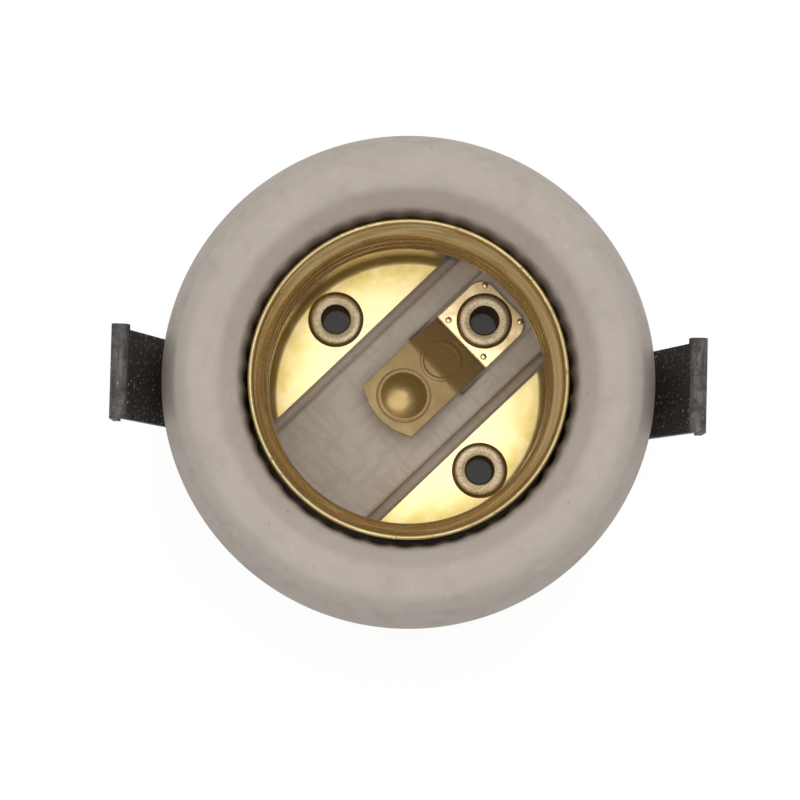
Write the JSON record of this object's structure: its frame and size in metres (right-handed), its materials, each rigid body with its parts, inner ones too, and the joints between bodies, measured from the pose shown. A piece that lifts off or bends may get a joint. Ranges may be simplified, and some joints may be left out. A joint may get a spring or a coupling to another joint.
{
  "type": "lamp holder",
  "caption": "Porcelain screw lamp holder with a brass screw shell, spring centre contact, rear screw terminals and a snap-in steel bracket.",
  "frame": {"origin": "on the lamp's axis, at the level of the porcelain's back rim", "axes": "+Z out of the mouth along the lamp's axis, +X along the bracket from arm to arm, +Y across it"},
  "size_m": [0.051, 0.0428, 0.04],
  "materials": {
    "porcelain": "matt, unglazed",
    "shell_brass": "drawn brass, dull threads",
    "spring_brass": "rolled spring brass",
    "rivet_brass": "bright, lightly plated",
    "terminal_brass": "stamped brass",
    "zinc_steel": "zinc plated",
    "bare_steel": "bare steel",
    "black_paint": "black stove paint, worn at the folds"
  },
  "bodies": {
    "root": {"porcelain_body": "porcelain", "screw_shell": "shell_brass", "centre_contact": "spring_brass", "contact_rivet": "rivet_brass", "shell_rivet_left": "rivet_brass", "shell_rivet_right": "rivet_brass", "shell_rivet_washer": "zinc_steel", "live_terminal": "terminal_brass", "neutral_terminal": "terminal_brass", "mounting_bracket": "black_paint", "bracket_rivet": "bare_steel", "bracket_washer": "bare_steel"},
    "live_washer": {"live_washer": "zinc_steel"},
    "live_screw": {"live_screw": "zinc_steel"},
    "neutral_washer": {"neutral_washer": "zinc_steel"},
    "neutral_screw": {"neutral_screw": "zinc_steel"}
  },
  "joints": [
    {"name": "live_screw_travel", "type": "slide", "parent": "root", "child": "live_washer", "axis": [0, 0, -1], "range_m": [0, 0.0021]},
    {"name": "live_screw_turn", "type": "hinge", "parent": "live_washer", "child": "live_screw", "pos_m": [0, 0.0093, 0.007], "axis": [0, 0, -1], "range_deg": [0, 1260]},
    {"name": "neutral_screw_travel", "type": "slide", "parent": "root", "child": "neutral_washer", "axis": [0, 0, -1], "range_m": [0, 0.0021]},
    {"name": "neutral_screw_turn", "type": "hinge", "parent": "neutral_washer", "child": "neutral_screw", "pos_m": [0, -0.0093, 0.007], "axis": [0, 0, -1], "range_deg": [0, 1260]}
  ],
  "couplings": [
    {"joint": "live_screw_turn", "follows": "live_screw_travel", "rad_per_m": 10472},
    {"joint": "neutral_screw_turn", "follows": "neutral_screw_travel", "rad_per_m": 10472}
  ]
}
